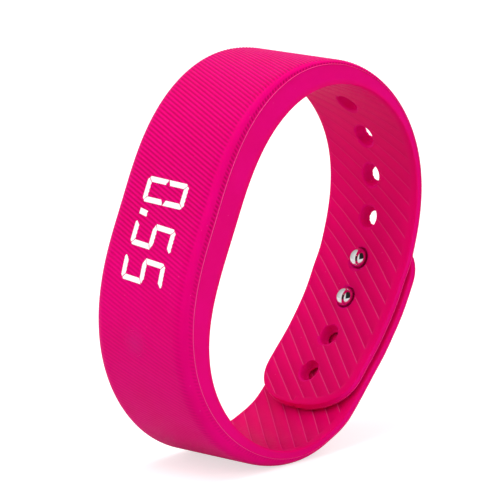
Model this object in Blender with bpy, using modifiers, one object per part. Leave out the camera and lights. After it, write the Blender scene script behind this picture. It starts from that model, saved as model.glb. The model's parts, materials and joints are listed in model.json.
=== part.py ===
"""Fitness tracker band: a closed silicone wristband with a two-stud clasp and a pull-out electronic core.

Frame: metres, +Z up, X across the band. The closed band stands upright as a loop, its display faces -Y
and slightly up, and the origin is the middle of the bottom face of the whole object's box.

Loop angles run from the display side (0 degrees, -Y) over the top (90) and the back (180) to the bottom
(270). A point of the band is given by its loop angle and by its offset outward from the inner face.
"""

import math

import bmesh
import bpy
import numpy as np
from mathutils import Matrix, Vector

MM = 0.001
GAP = 0.3 * MM  # clearance left between pieces that touch on the real object

# Inner face of the closed loop: distance from its centre every 30 degrees, front, over the top and round.
LOOP_RADII = np.array([27.8, 25.1, 29.1, 36.4, 39.3, 35.8, 28.9, 26.1, 28.0, 36.5, 38.5, 34.8]) * MM
# Height of the flat side wall, at the same angles: thick around the core, thin along the straps.
SIDE_HEIGHTS = np.array([5.8, 6.2, 6.3, 5.6, 2.8, 1.4, 1.35, 1.35, 1.35, 1.4, 2.1, 3.9]) * MM

FRONT_WIDTH = 27.5 * MM
STRAP_WIDTH = 26.3 * MM
FRONT_RISE = 2.9 * MM  # how far the outer face stands above the side wall, and the width of its round edge
STRAP_RISE = 0.95 * MM
FRONT_EDGE = 3.0 * MM
STRAP_EDGE = 1.3 * MM
INNER_EDGE = 0.4 * MM

# Where one flexible stretch of the band ends and the next begins, in degrees round the loop.
HOLE_ROOT = 115.0
HOLE_MIDDLE = 165.2
STUD_MIDDLE = 262.0
STUD_ROOT = 290.0

HOLE_COUNT = 8
FIRST_HOLE = 130.9
HOLE_PITCH = 9.0 * MM
HOLE_RADIUS = 2.4 * MM
TIP_BEYOND_HOLE = 9.0 * MM
TIP_ROUND = 10.0 * MM

HOLE_SHIFT = -0.6 * MM  # the row of holes, and the clasp with it, sits a little off the strap's middle
FASTENED_LIFT = 0.5 * MM  # the fastened hole strap lies this far inside the loop, from and to these angles
FASTENED_RANGE = (185, 199)
TIP_LIFT = 1.4 * MM  # and this much further towards its tip
TIP_LIFT_RANGE = (226, 256)
REJOIN_RANGE = (257, 269)  # where the stud strap comes back to the loop's own inner face
MEAN_RADIUS = 30.0 * MM  # of the loop, to turn a short distance along it into degrees

STRAP_THICKNESS = 2.3 * MM
OVERLAP_OFFSET = STRAP_THICKNESS + GAP  # the stud strap lies this far out, over the hole strap
STUD_HOLES = (4, 5)  # which holes the two studs sit in, counted from 0
STUD_TIP_BEYOND = 6.4 * MM
STUD_HEAD_RADIUS = 1.95 * MM
STUD_POST_RADIUS = 1.1 * MM
STUD_HEAD_MIDDLE = 0.3 * MM
STUD_HEAD_HALF = 1.4 * MM
STUD_HEAD_END = 1.6 * MM
PLATE_WIDTH = 6.0 * MM
PLATE_THICKNESS = 0.7 * MM
PLATE_DEPTH = 0.1 * MM  # how far the plate's face lies below the strap's
PLATE_BEYOND_STUD = 3.2 * MM

CORE_ANGLE = 9.2
CORE_LOW = -23.0 * MM
CORE_HIGH = 21.0 * MM
CORE_WIDTH = 20.0 * MM
CORE_WALL = 0.9 * MM
BACK_THICKNESS = 1.0 * MM
SKIN = 1.4 * MM  # silicone left over the core's face
TONGUE_WIDTH = 12.0 * MM
TONGUE_THICKNESS = 2.0 * MM
TONGUE_END = 33.0 * MM
TONGUE_ROOT = 18.5 * MM
TONGUE_LIFT = 2.5 * MM
CONTACT_PLACES = (-3.5 * MM, -1.0 * MM, 1.0 * MM, 3.5 * MM)
CONTACT_HALF_WIDTH = 0.55 * MM
CONTACT_FROM_ROOT = 5.0 * MM
CONTACT_FROM_END = 0.8 * MM

DIGIT_CENTRES = (13.1 * MM, 3.5 * MM, -3.9 * MM)
DIGIT_WIDTH = 5.2 * MM
DIGIT_HEIGHT = 12.2 * MM
DIGIT_SHIFT = 0.3 * MM
SEGMENT_WIDTH = 1.2 * MM
SEGMENT_GAP = 0.2 * MM
WEB_THICKNESS = 0.3 * MM  # the thin floor that joins a digit's seven bars
POINT_PLACE = (-4.7 * MM, 8.1 * MM)
POINT_SIZE = 1.4 * MM
DISPLAY_RANGE = (-7.5 * MM, 17.2 * MM)

KEY_PLACE = (-1.0 * MM, -18.8 * MM)
KEY_RADIUS = 2.7 * MM
KEY_THICKNESS = 1.0 * MM
PLUNGER_RADIUS = 1.2 * MM
PLUNGER_SPAN = (-2.7 * MM, -1.3 * MM)  # heights on the key's axis, from the band's outer face
SWITCH_RADIUS = 1.6 * MM
SWITCH_SPAN = (-4.35 * MM, -3.65 * MM)
SWITCH_DOT_RADIUS = 0.7 * MM
SWITCH_DOT_SPAN = (-3.9 * MM, -2.8 * MM)

BOARD_RANGE = (-21.5 * MM, -12.2 * MM)
BOARD_LIFT = 3.0 * MM
BOARD_THICKNESS = 0.6 * MM
BOARD_HALF_WIDTH = 8.0 * MM
CHIP_HEIGHT = 0.5 * MM
FLEX_START = -9.5 * MM
FLEX_HALF_WIDTH = 8.2 * MM
FLEX_DEPTH = 4.75 * MM  # below the band's outer face, under the display
FLEX_THICKNESS = 0.25 * MM
BATTERY_RANGE = (-5.0 * MM, 18.0 * MM)
BATTERY_THICKNESS = 2.2 * MM
BATTERY_HALF_WIDTH = 7.0 * MM
CELL_BOARD_RANGE = (-8.2 * MM, -5.5 * MM)
CELL_BOARD_HALF_WIDTH = 5.0 * MM
LEAD_APART = 1.2 * MM  # each lead from the middle
LEAD_START = -8.6 * MM
LEAD_END = -13.4 * MM
LEAD_RADIUS = 0.25 * MM

SILICONE = (0.76, 0.0, 0.17, 1.0)


def periodic_spline(values):
    """The smooth closed curve through evenly spaced values, as a function of an angle in radians."""
    count = len(values)
    step = 2 * math.pi / count
    system = 4 * np.eye(count) + np.roll(np.eye(count), 1, axis=1) + np.roll(np.eye(count), -1, axis=1)
    second = np.roll(values, -1) - 2 * values + np.roll(values, 1)
    bend = np.linalg.solve(system, 6 * second / step**2)

    def value(angle):
        place = (angle / step) % count
        low = int(place)
        high = (low + 1) % count
        after = place - low
        before = 1 - after
        straight = before * values[low] + after * values[high]
        curved = (before**3 - before) * bend[low] + (after**3 - after) * bend[high]
        return straight + curved * step**2 / 6

    return value


loop_radius = periodic_spline(LOOP_RADII)
side_height_at = periodic_spline(SIDE_HEIGHTS)


def smooth(share):
    share = min(max(share, 0.0), 1.0)
    return share * share * (3 - 2 * share)


def ramp(degrees, start, end):
    return smooth((degrees - start) / (end - start))


def near_front(degrees, full, none):
    """1 within `full` degrees of the front, 0 beyond `none` degrees, and smooth in between."""
    away = abs((degrees + 180) % 360 - 180)
    return 1 - smooth((away - full) / (none - full))


def side_height(degrees):
    return side_height_at(math.radians(degrees))


def face_rise(degrees):
    return STRAP_RISE + (FRONT_RISE - STRAP_RISE) * near_front(degrees - 5, 50, 100)


def edge_width(degrees):
    return STRAP_EDGE + (FRONT_EDGE - STRAP_EDGE) * near_front(degrees - 5, 50, 100)


def half_width(degrees):
    return (STRAP_WIDTH + (FRONT_WIDTH - STRAP_WIDTH) * near_front(degrees, 75, 150)) / 2


def outer_offset(degrees):
    return side_height(degrees) + face_rise(degrees)


def inner_point(degrees):
    angle = math.radians(degrees)
    radius = loop_radius(angle)
    return np.array([-radius * math.cos(angle), radius * math.sin(angle)])


def tangent(degrees):
    step = 0.01
    along = inner_point(degrees + step) - inner_point(degrees - step)
    return along / np.linalg.norm(along)


def loop_point(degrees, offset):
    """(y, z) about the loop's centre, `offset` outward from the inner face."""
    along = tangent(degrees)
    outward = np.array([-along[1], along[0]])
    return inner_point(degrees) + offset * outward


ARC_DEGREES = np.arange(0.0, 360.5, 0.5)
ARC_POINTS = np.array([inner_point(a) for a in ARC_DEGREES])
ARC_LENGTHS = np.concatenate([[0], np.cumsum(np.linalg.norm(np.diff(ARC_POINTS, axis=0), axis=1))])


def arc_at(degrees):
    return float(np.interp(degrees, ARC_DEGREES, ARC_LENGTHS))


def degrees_at(arc):
    return float(np.interp(arc, ARC_LENGTHS, ARC_DEGREES))


HOLES = [degrees_at(arc_at(FIRST_HOLE) + HOLE_PITCH * i) for i in range(HOLE_COUNT)]
HOLE_TIP = degrees_at(arc_at(HOLES[-1]) + TIP_BEYOND_HOLE)
STUD_TIP = degrees_at(arc_at(HOLES[STUD_HOLES[0]]) - STUD_TIP_BEYOND)
HALF_GAP = math.degrees(GAP / 2 / MEAN_RADIUS)


def hole_strap_offset(degrees):
    """The hole strap's inner face: inside the loop where it is fastened, and more so towards its tip."""
    return -FASTENED_LIFT * ramp(degrees, *FASTENED_RANGE) - TIP_LIFT * ramp(degrees, *TIP_LIFT_RANGE)


def stud_strap_offset(degrees):
    """The stud strap's inner face: out over the hole strap, then back to the loop's own inner face."""
    return (OVERLAP_OFFSET + hole_strap_offset(degrees)) * (1 - ramp(degrees, *REJOIN_RANGE))


def loop_centre():
    """The loop's centre, set so that the origin is the middle of the bottom of the whole box."""
    front = [loop_point(a, outer_offset(a)) for a in range(-70, 170, 2)]
    back = [loop_point(a, stud_strap_offset(a) + outer_offset(a)) for a in range(int(STUD_TIP), 290, 2)]
    outline = np.array(front + back)
    low, high = outline.min(axis=0), outline.max(axis=0)
    return np.array([-(low[0] + high[0]) / 2, -low[1]])


CENTRE = loop_centre()


def world(degrees, offset, x=0.0):
    y, z = CENTRE + loop_point(degrees, offset)
    return Vector((x, y, z))


def frame_at(degrees, offset, x=0.0):
    """World matrix of a frame on the band: x across it, y along it (front to top to back), z outward."""
    along = tangent(degrees)
    turn = Matrix.Rotation(math.atan2(along[1], along[0]), 4, "X")
    return Matrix.Translation(world(degrees, offset, x)) @ turn


# ---------------------------------------------------------------- scene, materials and mesh helpers


def clear_scene():
    for obj in list(bpy.data.objects):
        bpy.data.objects.remove(obj)


def new_collection(name):
    collection = bpy.data.collections.new(name)
    bpy.context.scene.collection.children.link(collection)
    return collection


clear_scene()
PARTS = new_collection("fitness_tracker_band")
CUTTERS = new_collection("cutters")


def material(name, colour, roughness, metallic=0.0):
    made = bpy.data.materials.new(name)
    made.use_nodes = True
    shader = made.node_tree.nodes["Principled BSDF"]
    shader.inputs["Base Color"].default_value = colour
    shader.inputs["Roughness"].default_value = roughness
    shader.inputs["Metallic"].default_value = metallic
    return made


def add_object(name, bm, look=None, parent=None):
    """Turns the bmesh into an object in the parts, or in the cutters where it has no look."""
    bmesh.ops.recalc_face_normals(bm, faces=bm.faces)
    mesh = bpy.data.meshes.new(name)
    bm.to_mesh(mesh)
    bm.free()
    obj = bpy.data.objects.new(name, mesh)
    (PARTS if look else CUTTERS).objects.link(obj)
    if look:
        mesh.materials.append(material(name, *look))
    else:
        obj.hide_render = True
        obj.display_type = "WIRE"
    obj.parent = parent
    return obj


def add_empty(name, matrix):
    empty = bpy.data.objects.new(name, None)
    empty.empty_display_size = 5 * MM
    PARTS.objects.link(empty)
    empty.matrix_world = matrix
    return empty


def combine(obj, operation, *others):
    for other in others:
        modifier = obj.modifiers.new(other.name, "BOOLEAN")
        modifier.operation = operation
        modifier.solver = "EXACT"
        modifier.object = other
    return obj


def cut(obj, *cutters):
    return combine(obj, "DIFFERENCE", *cutters)


def round_edges(obj, width, segments=2):
    modifier = obj.modifiers.new("round", "BEVEL")
    modifier.width = width
    modifier.segments = segments
    modifier.limit_method = "ANGLE"
    modifier.angle_limit = math.radians(50)
    return obj


def loft(sections):
    """A closed body through sections that all have the same number of points."""
    bm = bmesh.new()
    rings = [[bm.verts.new(point) for point in section] for section in sections]
    for near, far in zip(rings, rings[1:]):
        for i in range(len(near)):
            j = (i + 1) % len(near)
            bm.faces.new((near[i], near[j], far[j], far[i]))
    bm.faces.new(list(reversed(rings[0])))
    bm.faces.new(rings[-1])
    return bm


def prism(outline, low_x, high_x):
    """The outline, a list of (y, z), extruded across the band from low_x to high_x."""
    bm = bmesh.new()
    face = bm.faces.new([bm.verts.new((low_x, y, z)) for y, z in outline])
    moved = bmesh.ops.extrude_face_region(bm, geom=[face])["geom"]
    corners = [item for item in moved if isinstance(item, bmesh.types.BMVert)]
    bmesh.ops.translate(bm, verts=corners, vec=(high_x - low_x, 0, 0))
    return bm


def cylinder(radius, low_z, high_z, x=0.0, y=0.0, sides=24):
    bm = bmesh.new()
    middle = Matrix.Translation((x, y, (low_z + high_z) / 2))
    bmesh.ops.create_cone(
        bm,
        cap_ends=True,
        segments=sides,
        radius1=radius,
        radius2=radius,
        depth=high_z - low_z,
        matrix=middle,
    )
    return bm


# ---------------------------------------------------------------- the silicone band


def band_section(degrees, base, half):
    """Points round one cut across the band: inner face, side walls, round edges, outer face."""
    side, rise = side_height(degrees), face_rise(degrees)
    edge = min(edge_width(degrees), 0.6 * half)
    right = [(half - INNER_EDGE, base), (half, base + INNER_EDGE), (half, base + side)]
    for turn in (30, 60, 90):
        lean = math.radians(turn)
        right.append((half - edge * (1 - math.cos(lean)), base + side + rise * math.sin(lean)))
    left = [(-x, offset) for x, offset in reversed(right)]
    return [world(degrees, offset, x) for x, offset in right + left]


def tip_share(beyond):
    """How much of its width the strap has, `beyond` from its round tip."""
    if beyond >= TIP_ROUND:
        return 1.0
    return (1 - (1 - beyond / TIP_ROUND) ** 2.2) ** (1 / 2.2)


def stretch(start, end, step):
    count = max(2, round(abs(end - start) / step) + 1)
    return list(np.linspace(start, end, count))


def tip_angles(tip, inward):
    """Angles close together at a round tip, from where the rounding starts to the tip itself."""
    shares = (1.0, 0.8, 0.6, 0.42, 0.27, 0.15, 0.07, 0.02)
    return [degrees_at(arc_at(tip) + inward * TIP_ROUND * share) for share in shares]


def band_piece(name, angles, base=lambda degrees: 0.0, tip=None):
    sections = []
    for degrees in angles:
        half = half_width(degrees)
        if tip is not None:
            half *= tip_share(abs(arc_at(tip) - arc_at(degrees)))
        sections.append(band_section(degrees, base(degrees), half))
    return add_object(name, loft(sections), (SILICONE, 0.55))


def hole_frame(degrees):
    """Frame of a hole, and of the stud in it: on the hole strap's inner face, z outward."""
    return frame_at(degrees, hole_strap_offset(degrees), HOLE_SHIFT)


def hole_cutter(index):
    cutter = add_object(f"hole_{index + 1}", cylinder(HOLE_RADIUS, -3 * MM, 4 * MM))
    cutter.matrix_world = hole_frame(HOLES[index])
    return cutter


def make_straps():
    middle, tip = HOLE_MIDDLE, tip_angles(HOLE_TIP, -1)
    upper = band_piece("hole_strap_upper", stretch(HOLE_ROOT + HALF_GAP, middle - HALF_GAP, 5))
    end_angles = stretch(middle + HALF_GAP, tip[0], 5)[:-1] + tip
    end = band_piece("hole_strap_end", end_angles, hole_strap_offset, tip=HOLE_TIP)
    for index in range(HOLE_COUNT):
        cut(upper if HOLES[index] < middle else end, hole_cutter(index))
    root_angles = stretch(STUD_MIDDLE + HALF_GAP, STUD_ROOT - HALF_GAP, 3)
    band_piece("stud_strap_root", root_angles, stud_strap_offset)
    tip = tip_angles(STUD_TIP, 1)
    end_angles = tip[::-1] + stretch(tip[0], STUD_MIDDLE - HALF_GAP, 5)[1:]
    return band_piece("stud_strap_end", end_angles, stud_strap_offset, tip=STUD_TIP)


def stud_profile(outer_end):
    """Half outline of a stud from its round head to its flat end, at heights from the strap's inner face."""
    head = []
    for turn in (0, 20, 40, 60, 80, 100, 120, 140):
        lean = math.radians(turn)
        head.append((STUD_HEAD_RADIUS * math.sin(lean), STUD_HEAD_MIDDLE - STUD_HEAD_HALF * math.cos(lean)))
    post = [(STUD_POST_RADIUS, STUD_HEAD_END), (STUD_POST_RADIUS, outer_end), (0, outer_end)]
    return head + post


def turned(name, profile, look):
    """A body of revolution about its own z axis, from a half outline of (radius, z)."""
    bm = bmesh.new()
    corners = [bm.verts.new((radius, 0, z)) for radius, z in profile]
    for near, far in zip(corners, corners[1:]):
        bm.edges.new((near, far))
    mesh = bpy.data.meshes.new(name)
    bm.to_mesh(mesh)
    bm.free()
    obj = bpy.data.objects.new(name, mesh)
    PARTS.objects.link(obj)
    mesh.materials.append(material(name, *look))
    modifier = obj.modifiers.new("turn", "SCREW")
    modifier.steps = modifier.render_steps = 20
    modifier.use_merge_vertices = True
    modifier.merge_threshold = 1e-5
    modifier.use_normal_flip = True
    return obj


def plate_height(below_face):
    """A surface that lies below the stud strap's outer face, as an offset at each loop angle."""
    return lambda degrees: stud_strap_offset(degrees) + outer_offset(degrees) - below_face


def make_clasp(stud_strap):
    """Two studs riveted to a plate that lies in a recess of the stud strap's outer face."""
    studs = [HOLES[index] for index in STUD_HOLES]
    ends = (arc_at(studs[0]) - PLATE_BEYOND_STUD, arc_at(studs[1]) + PLATE_BEYOND_STUD)

    def plate_shape(low, high, spare):
        angles = [degrees_at(arc) for arc in np.linspace(ends[0] - spare, ends[1] + spare, 6)]
        lower = [CENTRE + loop_point(a, low(a)) for a in angles]
        upper = [CENTRE + loop_point(a, high(a)) for a in reversed(angles)]
        reach = PLATE_WIDTH / 2 + spare
        return prism(lower + upper, HOLE_SHIFT - reach, HOLE_SHIFT + reach)

    top, bottom = plate_height(PLATE_DEPTH), plate_height(PLATE_DEPTH + PLATE_THICKNESS)
    add_object("clasp_plate", plate_shape(bottom, top, 0), ((0.55, 0.55, 0.57, 1), 0.25, 1.0))
    floor = plate_height(PLATE_DEPTH + PLATE_THICKNESS + GAP)
    recess = plate_shape(floor, plate_height(-2 * MM), GAP)
    cut(stud_strap, add_object("plate_recess", recess))
    for number, degrees in enumerate(studs, start=1):
        post_end = floor(degrees) - hole_strap_offset(degrees)
        stud = turned(f"clasp_stud_{number}", stud_profile(post_end), ((0.8, 0.8, 0.82, 1), 0.12, 1.0))
        stud.matrix_world = hole_frame(degrees)
        bore = add_object(f"stud_bore_{number}", cylinder(STUD_POST_RADIUS + GAP, 2 * MM, 6 * MM, sides=16))
        bore.matrix_world = hole_frame(degrees)
        cut(stud_strap, bore)


# ---------------------------------------------------------------- the core, in its own frame


CORE_FRAME = frame_at(CORE_ANGLE, 0)
TO_CORE = CORE_FRAME.inverted()


def core_surface(offset):
    """Height of a band surface above the core's frame, as a function of the place along the core."""
    points = [TO_CORE @ world(a, offset(a)) for a in np.arange(-60.0, 100.0, 1.0)]
    places = [point.y for point in points]
    heights = [point.z for point in points]
    return lambda y: float(np.interp(y, places, heights))


inner = core_surface(lambda degrees: 0.0)
outer = core_surface(outer_offset)


def above(surface, distance):
    return lambda y: surface(y) + distance


def straight(surface, low_y, high_y):
    """The straight line between two places of a surface."""
    slope = (surface(high_y) - surface(low_y)) / (high_y - low_y)
    return lambda y: surface(low_y) + slope * (y - low_y)


def slab_outline(low_y, high_y, bottom, top, parts):
    places = np.linspace(low_y, high_y, parts + 1)
    return [(y, bottom(y)) for y in places] + [(y, top(y)) for y in reversed(places)]


def slab(low_y, high_y, half_x, bottom, top, parts=1, centre_x=0.0):
    """A board between two surfaces; with one part it is flat, with more it follows their curve."""
    outline = slab_outline(low_y, high_y, bottom, top, parts)
    return prism(outline, centre_x - half_x, centre_x + half_x)


def key_frame():
    """Frame on the key's axis: z outward through the band's face, square to it."""
    places = np.arange(-60.0, 60.0, 0.5)
    spot = min(places, key=lambda a: abs((TO_CORE @ world(a, outer_offset(a))).y - KEY_PLACE[1]))
    low, high = world(spot - 2, outer_offset(spot - 2)), world(spot + 2, outer_offset(spot + 2))
    along = high - low
    turn = Matrix.Rotation(math.atan2(along.z, along.y), 4, "X")
    middle = world(spot, outer_offset(spot), KEY_PLACE[0])
    return Matrix.Translation(middle) @ turn


def make_sleeve():
    sleeve = band_piece("band_sleeve", stretch(STUD_ROOT - 360 + HALF_GAP, HOLE_ROOT - HALF_GAP, 5))
    low, high, half = CORE_LOW - GAP, CORE_HIGH + GAP, CORE_WIDTH / 2 + GAP
    below = above(inner, -5 * MM)
    body = add_object("core_pocket", slab(low, high, half, below, above(outer, -SKIN), 10))
    half = TONGUE_WIDTH / 2 + GAP
    roof = above(inner, TONGUE_LIFT + TONGUE_THICKNESS + 2 * GAP)
    tongue = add_object("tongue_pocket", slab(CORE_HIGH - MM, TONGUE_END + GAP, half, below, roof, 4))
    for pocket in (body, tongue):
        pocket.matrix_world = CORE_FRAME
    key_hole = add_object("key_hole", cylinder(KEY_RADIUS + GAP, -3 * MM, 2 * MM))
    key_hole.matrix_world = key_frame()
    cut(sleeve, body, tongue, key_hole)


def make_key():
    key = add_object("key_membrane", cylinder(KEY_RADIUS, -KEY_THICKNESS, 0), (SILICONE, 0.55))
    key.matrix_world = key_frame()


def make_casing(core):
    black, low, high = (0.02, 0.02, 0.022, 1), CORE_LOW, CORE_HIGH
    half, wall = CORE_WIDTH / 2, CORE_WALL
    back = slab(low, high, half, inner, above(inner, BACK_THICKNESS), 10)
    round_edges(add_object("core_back_cover", back, (black, 0.45), core), 0.2 * MM)

    seal_low = BACK_THICKNESS + GAP
    seal_high = seal_low + 0.4 * MM
    seal = slab(low, high, half, above(inner, seal_low), above(inner, seal_high), 10)
    seal = add_object("casing_seal", seal, ((0.15, 0.15, 0.16, 1), 0.7), core)
    inside = slab(low + wall, high - wall, half - wall, above(inner, -MM), above(inner, 4 * MM), 10)
    cut(seal, add_object("seal_inside", inside, parent=core))

    cover_low = above(inner, seal_high + GAP)
    face = above(outer, -SKIN - GAP)
    cover = slab(low, high, half, cover_low, face, 10)
    cover = add_object("core_front_cover", cover, (black, 0.2), core)
    cavity = slab(low + wall, high - wall, half - wall, above(inner, -MM), above(face, -wall), 10)
    slot_low = above(inner, TONGUE_LIFT - MM)
    slot_high = above(inner, TONGUE_LIFT + TONGUE_THICKNESS + 0.4 * MM)
    slot = slab(TONGUE_ROOT, CORE_HIGH + MM, TONGUE_WIDTH / 2 + GAP, slot_low, slot_high)
    bore = cylinder(PLUNGER_RADIUS + 0.2 * MM, -6 * MM, 2 * MM, sides=16)
    bore = add_object("plunger_bore", bore)
    bore.matrix_world = key_frame()
    cut(
        cover,
        add_object("core_cavity", cavity, parent=core),
        add_object("tongue_slot", slot, parent=core),
        bore,
    )


def make_boards(core):
    green = ((0.01, 0.12, 0.05, 1), 0.4)
    chip = ((0.02, 0.02, 0.02, 1), 0.35)
    steel = ((0.6, 0.6, 0.6, 1), 0.25, 1.0)
    plane = straight(inner, *BOARD_RANGE)
    low, high = above(plane, BOARD_LIFT), above(plane, BOARD_LIFT + BOARD_THICKNESS)
    board = slab(*BOARD_RANGE, BOARD_HALF_WIDTH, low, high)
    add_object("main_board", board, green, core)
    low, high = above(outer, -FLEX_DEPTH), above(outer, FLEX_THICKNESS - FLEX_DEPTH)
    flex = slab(FLEX_START, DISPLAY_RANGE[1], FLEX_HALF_WIDTH, low, high, 8)
    add_object("display_board", flex, ((0.35, 0.2, 0.04, 1), 0.4), core)
    under = BOARD_LIFT - GAP
    over = BOARD_LIFT + BOARD_THICKNESS + GAP
    chips = (  # name, place along and across the core, half its width, bottom, look
        ("controller_chip", -17.6 * MM, 0.0, 2.0 * MM, under - CHIP_HEIGHT, chip),
        ("motion_sensor", -13.8 * MM, 4.5 * MM, 1.0 * MM, under - CHIP_HEIGHT, chip),
        ("led_driver", -14.2 * MM, -4.5 * MM, 1.2 * MM, under - CHIP_HEIGHT, chip),
        ("charge_chip", -15.3 * MM, -6.0 * MM, 1.1 * MM, over, chip),
        ("crystal", -15.2 * MM, 5.0 * MM, 1.0 * MM, over, steel),
    )
    for name, y, x, half, bottom, look in chips:
        body = slab(y - half, y + half, half, above(plane, bottom), above(plane, bottom + CHIP_HEIGHT), 1, x)
        add_object(name, body, look, core)


def make_key_stack():
    """The core's own plunger and, under it, the switch with its small dot, all on the key's axis."""
    base = cylinder(SWITCH_RADIUS, *SWITCH_SPAN, sides=16)
    base = add_object("switch_base", base, ((0.55, 0.55, 0.56, 1), 0.35))
    bore = add_object("switch_bore", cylinder(SWITCH_DOT_RADIUS + 0.25 * MM, -6 * MM, -2 * MM, sides=12))
    dot = cylinder(SWITCH_DOT_RADIUS, *SWITCH_DOT_SPAN, sides=12)
    dot = add_object("switch_plunger", dot, ((0.8, 0.8, 0.8, 1), 0.35))
    plunger = cylinder(PLUNGER_RADIUS, *PLUNGER_SPAN, sides=16)
    plunger = add_object("key_plunger", plunger, ((0.1, 0.1, 0.1, 1), 0.35))
    for piece in (base, bore, dot, plunger):
        piece.matrix_world = key_frame()
    cut(base, bore)


def segment_bars(centre_y):
    """The seven bars of one digit as (x, y, half length, along x or not), with the digit's top at +x."""
    reach_x = (DIGIT_HEIGHT - SEGMENT_WIDTH) / 2
    reach_y = (DIGIT_WIDTH - SEGMENT_WIDTH) / 2
    bars = [(DIGIT_SHIFT + reach_x * level, centre_y, reach_y, False) for level in (-1, 0, 1)]
    for half in (-0.5, 0.5):
        for side in (-1, 1):
            bars.append((DIGIT_SHIFT + reach_x * half, centre_y + reach_y * side, reach_x / 2, True))
    return bars


def segment_outline(x, y, half, along_x):
    """A pointed six-sided bar, as (x, y) corners."""
    tip, shoulder, wide = half - SEGMENT_GAP, half - SEGMENT_GAP - SEGMENT_WIDTH / 2, SEGMENT_WIDTH / 2
    corners = [(-tip, 0), (-shoulder, -wide), (shoulder, -wide)]
    corners += [(-a, -b) for a, b in corners]
    if along_x:
        return [(x + a, y + b) for a, b in corners]
    return [(x + b, y + a) for a, b in corners]


def light_guide(bm, corners, bottom, top):
    """A bar standing on the reflector's floor, with its outline's own corners at both ends."""
    lower = [bm.verts.new((x, y, bottom(y))) for x, y in corners]
    upper = [bm.verts.new((x, y, top(y))) for x, y in corners]
    bm.faces.new(lower)
    bm.faces.new(upper)
    for i in range(len(corners)):
        j = (i + 1) % len(corners)
        bm.faces.new((lower[i], lower[j], upper[j], upper[i]))


def make_display(core):
    white = ((0.85, 0.85, 0.85, 1), 0.5)
    lit = ((1, 1, 1, 1), 0.2)
    bottom, top = above(outer, -4.2 * MM), above(outer, -2.9 * MM)
    reflector = slab(*DISPLAY_RANGE, 7.6 * MM, bottom, top, 8)
    reflector = add_object("display_reflector", reflector, white, core)
    guide_low, guide_high = above(outer, -4.1 * MM), above(outer, -3.0 * MM)
    half_x, half_y = DIGIT_HEIGHT / 2 + 0.25 * MM, DIGIT_WIDTH / 2 + 0.2 * MM
    for number, centre in enumerate(DIGIT_CENTRES, start=1):
        window = slab(
            centre - half_y, centre + half_y, half_x, above(bottom, -MM), above(top, MM), 1, DIGIT_SHIFT
        )
        cut(reflector, add_object(f"digit_window_{number}", window, parent=core))
        web = slab(
            centre - DIGIT_WIDTH / 2,
            centre + DIGIT_WIDTH / 2,
            DIGIT_HEIGHT / 2,
            guide_low,
            above(guide_low, WEB_THICKNESS),
            1,
            DIGIT_SHIFT,
        )
        guide = add_object(f"digit_guide_{number}", web, lit, core)
        bars = bmesh.new()
        for bar in segment_bars(centre):
            light_guide(bars, segment_outline(*bar), above(guide_low, WEB_THICKNESS / 2), guide_high)
        combine(guide, "UNION", add_object(f"digit_bars_{number}", bars, parent=core))
    x, y = POINT_PLACE
    half = POINT_SIZE / 2
    hole = slab(y - half - GAP, y + half + GAP, half + GAP, above(bottom, -MM), above(top, MM), 1, x)
    cut(reflector, add_object("point_window", hole, parent=core))
    point = slab(y - half, y + half, half, guide_low, guide_high, 1, x)
    add_object("decimal_point", point, lit, core)


def lead(name, x, colour, core):
    """A short insulated wire from the battery's board to the main board."""
    curve = bpy.data.curves.new(name, "CURVE")
    curve.dimensions = "3D"
    curve.bevel_depth = LEAD_RADIUS
    curve.bevel_resolution = 2
    curve.use_fill_caps = True
    spline = curve.splines.new("POLY")
    board_top = straight(inner, *BOARD_RANGE)(LEAD_END) + BOARD_LIFT + BOARD_THICKNESS
    end_height = board_top + GAP + LEAD_RADIUS
    start_height = inner(LEAD_START) + 2.0 * MM
    route = [
        (LEAD_START, start_height),
        (LEAD_START - 0.8 * MM, start_height + 0.2 * MM),
        (LEAD_END + 1.0 * MM, end_height + 0.1 * MM),
        (LEAD_END, end_height),
    ]
    spline.points.add(len(route) - 1)
    for point, (y, z) in zip(spline.points, route):
        point.co = (x, y, z, 1)
    curve.materials.append(material(name, colour, 0.5))
    obj = bpy.data.objects.new(name, curve)
    PARTS.objects.link(obj)
    obj.parent = core


def make_battery(core):
    floor = BACK_THICKNESS + 0.35 * MM

    def flat(height):
        return lambda y: height

    cell = slab(*BATTERY_RANGE, BATTERY_HALF_WIDTH, flat(floor), flat(floor + BATTERY_THICKNESS))
    cell = add_object("battery_cell", cell, ((0.6, 0.62, 0.65, 1), 0.3, 0.6), core)
    round_edges(cell, 0.5 * MM)
    low, high = flat(floor - 0.1 * MM), flat(floor + 0.5 * MM)
    board = slab(*CELL_BOARD_RANGE, CELL_BOARD_HALF_WIDTH, low, high)
    add_object("battery_board", board, ((0.01, 0.1, 0.2, 1), 0.4), core)
    lead("battery_lead_red", LEAD_APART, (0.6, 0.01, 0.01, 1), core)
    lead("battery_lead_black", -LEAD_APART, (0.02, 0.02, 0.02, 1), core)


def make_plug(core):
    plane = straight(inner, TONGUE_ROOT, TONGUE_END)
    low, high = above(plane, TONGUE_LIFT), above(plane, TONGUE_LIFT + TONGUE_THICKNESS)
    tongue = slab(TONGUE_ROOT, TONGUE_END, TONGUE_WIDTH / 2, low, high)
    add_object("usb_tongue", tongue, ((0.9, 0.9, 0.9, 1), 0.4), core)
    start, end = TONGUE_ROOT + CONTACT_FROM_ROOT, TONGUE_END - CONTACT_FROM_END
    pad_low, pad_high = above(low, -0.35 * MM), above(low, -0.2 * MM)
    for number, place in enumerate(CONTACT_PLACES, start=1):
        pad = slab(start, end, CONTACT_HALF_WIDTH, pad_low, pad_high, 1, place)
        add_object(f"usb_contact_{number}", pad, ((0.85, 0.62, 0.2, 1), 0.25, 1.0), core)


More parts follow.
